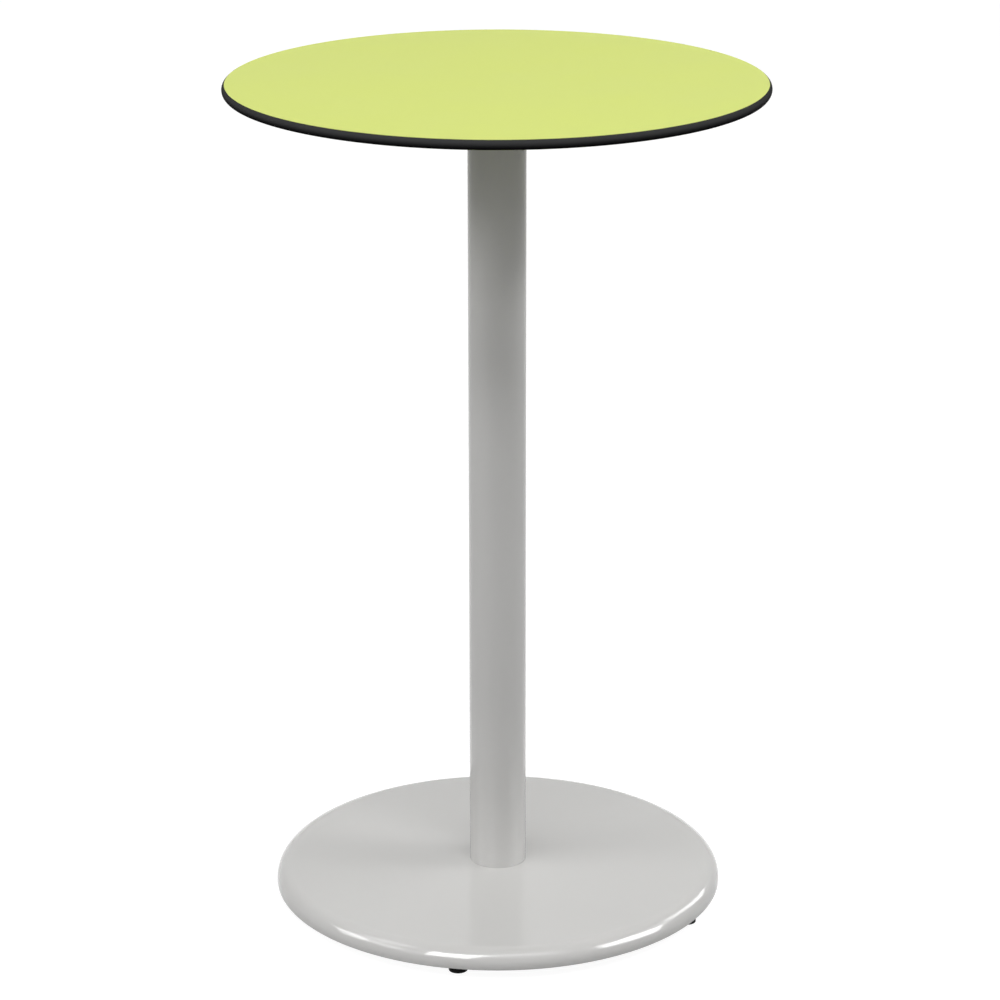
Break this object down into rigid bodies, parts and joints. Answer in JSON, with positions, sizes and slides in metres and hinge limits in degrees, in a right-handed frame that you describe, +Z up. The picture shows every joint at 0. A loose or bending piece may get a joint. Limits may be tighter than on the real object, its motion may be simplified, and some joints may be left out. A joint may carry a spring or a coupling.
{
  "type": "standing meeting table",
  "caption": "Round standing-height table: compact laminate top on a tubular column, with a weighted round base and screw-adjusted levelling feet.",
  "frame": {"origin": "on the floor, on the column's axis: the middle of the bounding box's underside, feet screwed fully in", "axes": "+Z up along the column, -Y towards the front, +X to the right as seen from the front"},
  "size_m": [0.7, 0.6999, 1.11],
  "materials": {
    "lime_decor": "lime green melamine decor sheet, fine matt texture with faint mottling",
    "black_core": "black phenolic core, machined and polished to a crowned edge with rounded corners",
    "frame_coat": "light grey powder coat, semi-gloss",
    "spider_coat": "die casting, powder coated in the frame's light grey",
    "zinc_steel": "bright zinc plated steel",
    "brass": "turned brass",
    "ballast_iron": "cast iron with a thin black primer",
    "support_rubber": "black rubber",
    "foot_plastic": "black moulded plastic"
  },
  "bodies": {
    "table": {"top_decor": "lime_decor", "top_core": "black_core", "underside_decor": "lime_decor", "top_inserts": "brass", "top_screws": "zinc_steel", "top_screw_washers": "zinc_steel", "top_spider": "spider_coat", "column_tube": "frame_coat", "column_centring_disc": "zinc_steel", "tie_rod": "zinc_steel", "rod_washer_upper": "zinc_steel", "rod_nut_upper": "zinc_steel", "rod_washer_lower": "zinc_steel", "rod_nut_lower": "zinc_steel", "base_cover": "frame_coat", "ballast_disc": "ballast_iron", "cover_support_ring": "support_rubber"},
    "foot_1_pad": {"foot_1_pad": "foot_plastic"},
    "foot_1_stud": {"foot_1_stud": "zinc_steel"},
    "foot_2_pad": {"foot_2_pad": "foot_plastic"},
    "foot_2_stud": {"foot_2_stud": "zinc_steel"},
    "foot_3_pad": {"foot_3_pad": "foot_plastic"},
    "foot_3_stud": {"foot_3_stud": "zinc_steel"},
    "foot_4_pad": {"foot_4_pad": "foot_plastic"},
    "foot_4_stud": {"foot_4_stud": "zinc_steel"},
    "foot_5_pad": {"foot_5_pad": "foot_plastic"},
    "foot_5_stud": {"foot_5_stud": "zinc_steel"}
  },
  "joints": [
    {"name": "foot_1_travel", "type": "slide", "parent": "table", "child": "foot_1_pad", "axis": [0, 0, -1], "range_m": [0, 0.006]},
    {"name": "foot_1_turn", "type": "hinge", "parent": "foot_1_pad", "child": "foot_1_stud", "pos_m": [-0.05163, -0.2813, 0.011], "axis": [0, 0, -1], "range_deg": [0, 1728]},
    {"name": "foot_2_travel", "type": "slide", "parent": "table", "child": "foot_2_pad", "axis": [0, 0, -1], "range_m": [0, 0.006]},
    {"name": "foot_2_turn", "type": "hinge", "parent": "foot_2_pad", "child": "foot_2_stud", "pos_m": [0.25158, -0.13603, 0.011], "axis": [0, 0, -1], "range_deg": [0, 1728]},
    {"name": "foot_3_travel", "type": "slide", "parent": "table", "child": "foot_3_pad", "axis": [0, 0, -1], "range_m": [0, 0.006]},
    {"name": "foot_3_turn", "type": "hinge", "parent": "foot_3_pad", "child": "foot_3_stud", "pos_m": [0.20711, 0.19723, 0.011], "axis": [0, 0, -1], "range_deg": [0, 1728]},
    {"name": "foot_4_travel", "type": "slide", "parent": "table", "child": "foot_4_pad", "axis": [0, 0, -1], "range_m": [0, 0.006]},
    {"name": "foot_4_turn", "type": "hinge", "parent": "foot_4_pad", "child": "foot_4_stud", "pos_m": [-0.12358, 0.25792, 0.011], "axis": [0, 0, -1], "range_deg": [0, 1728]},
    {"name": "foot_5_travel", "type": "slide", "parent": "table", "child": "foot_5_pad", "axis": [0, 0, -1], "range_m": [0, 0.006]},
    {"name": "foot_5_turn", "type": "hinge", "parent": "foot_5_pad", "child": "foot_5_stud", "pos_m": [-0.28349, -0.03782, 0.011], "axis": [0, 0, -1], "range_deg": [0, 1728]}
  ],
  "couplings": [
    {"joint": "foot_1_travel", "follows": "foot_1_turn", "m_per_rad": 0.00019894},
    {"joint": "foot_2_travel", "follows": "foot_2_turn", "m_per_rad": 0.00019894},
    {"joint": "foot_3_travel", "follows": "foot_3_turn", "m_per_rad": 0.00019894},
    {"joint": "foot_4_travel", "follows": "foot_4_turn", "m_per_rad": 0.00019894},
    {"joint": "foot_5_travel", "follows": "foot_5_turn", "m_per_rad": 0.00019894}
  ]
}
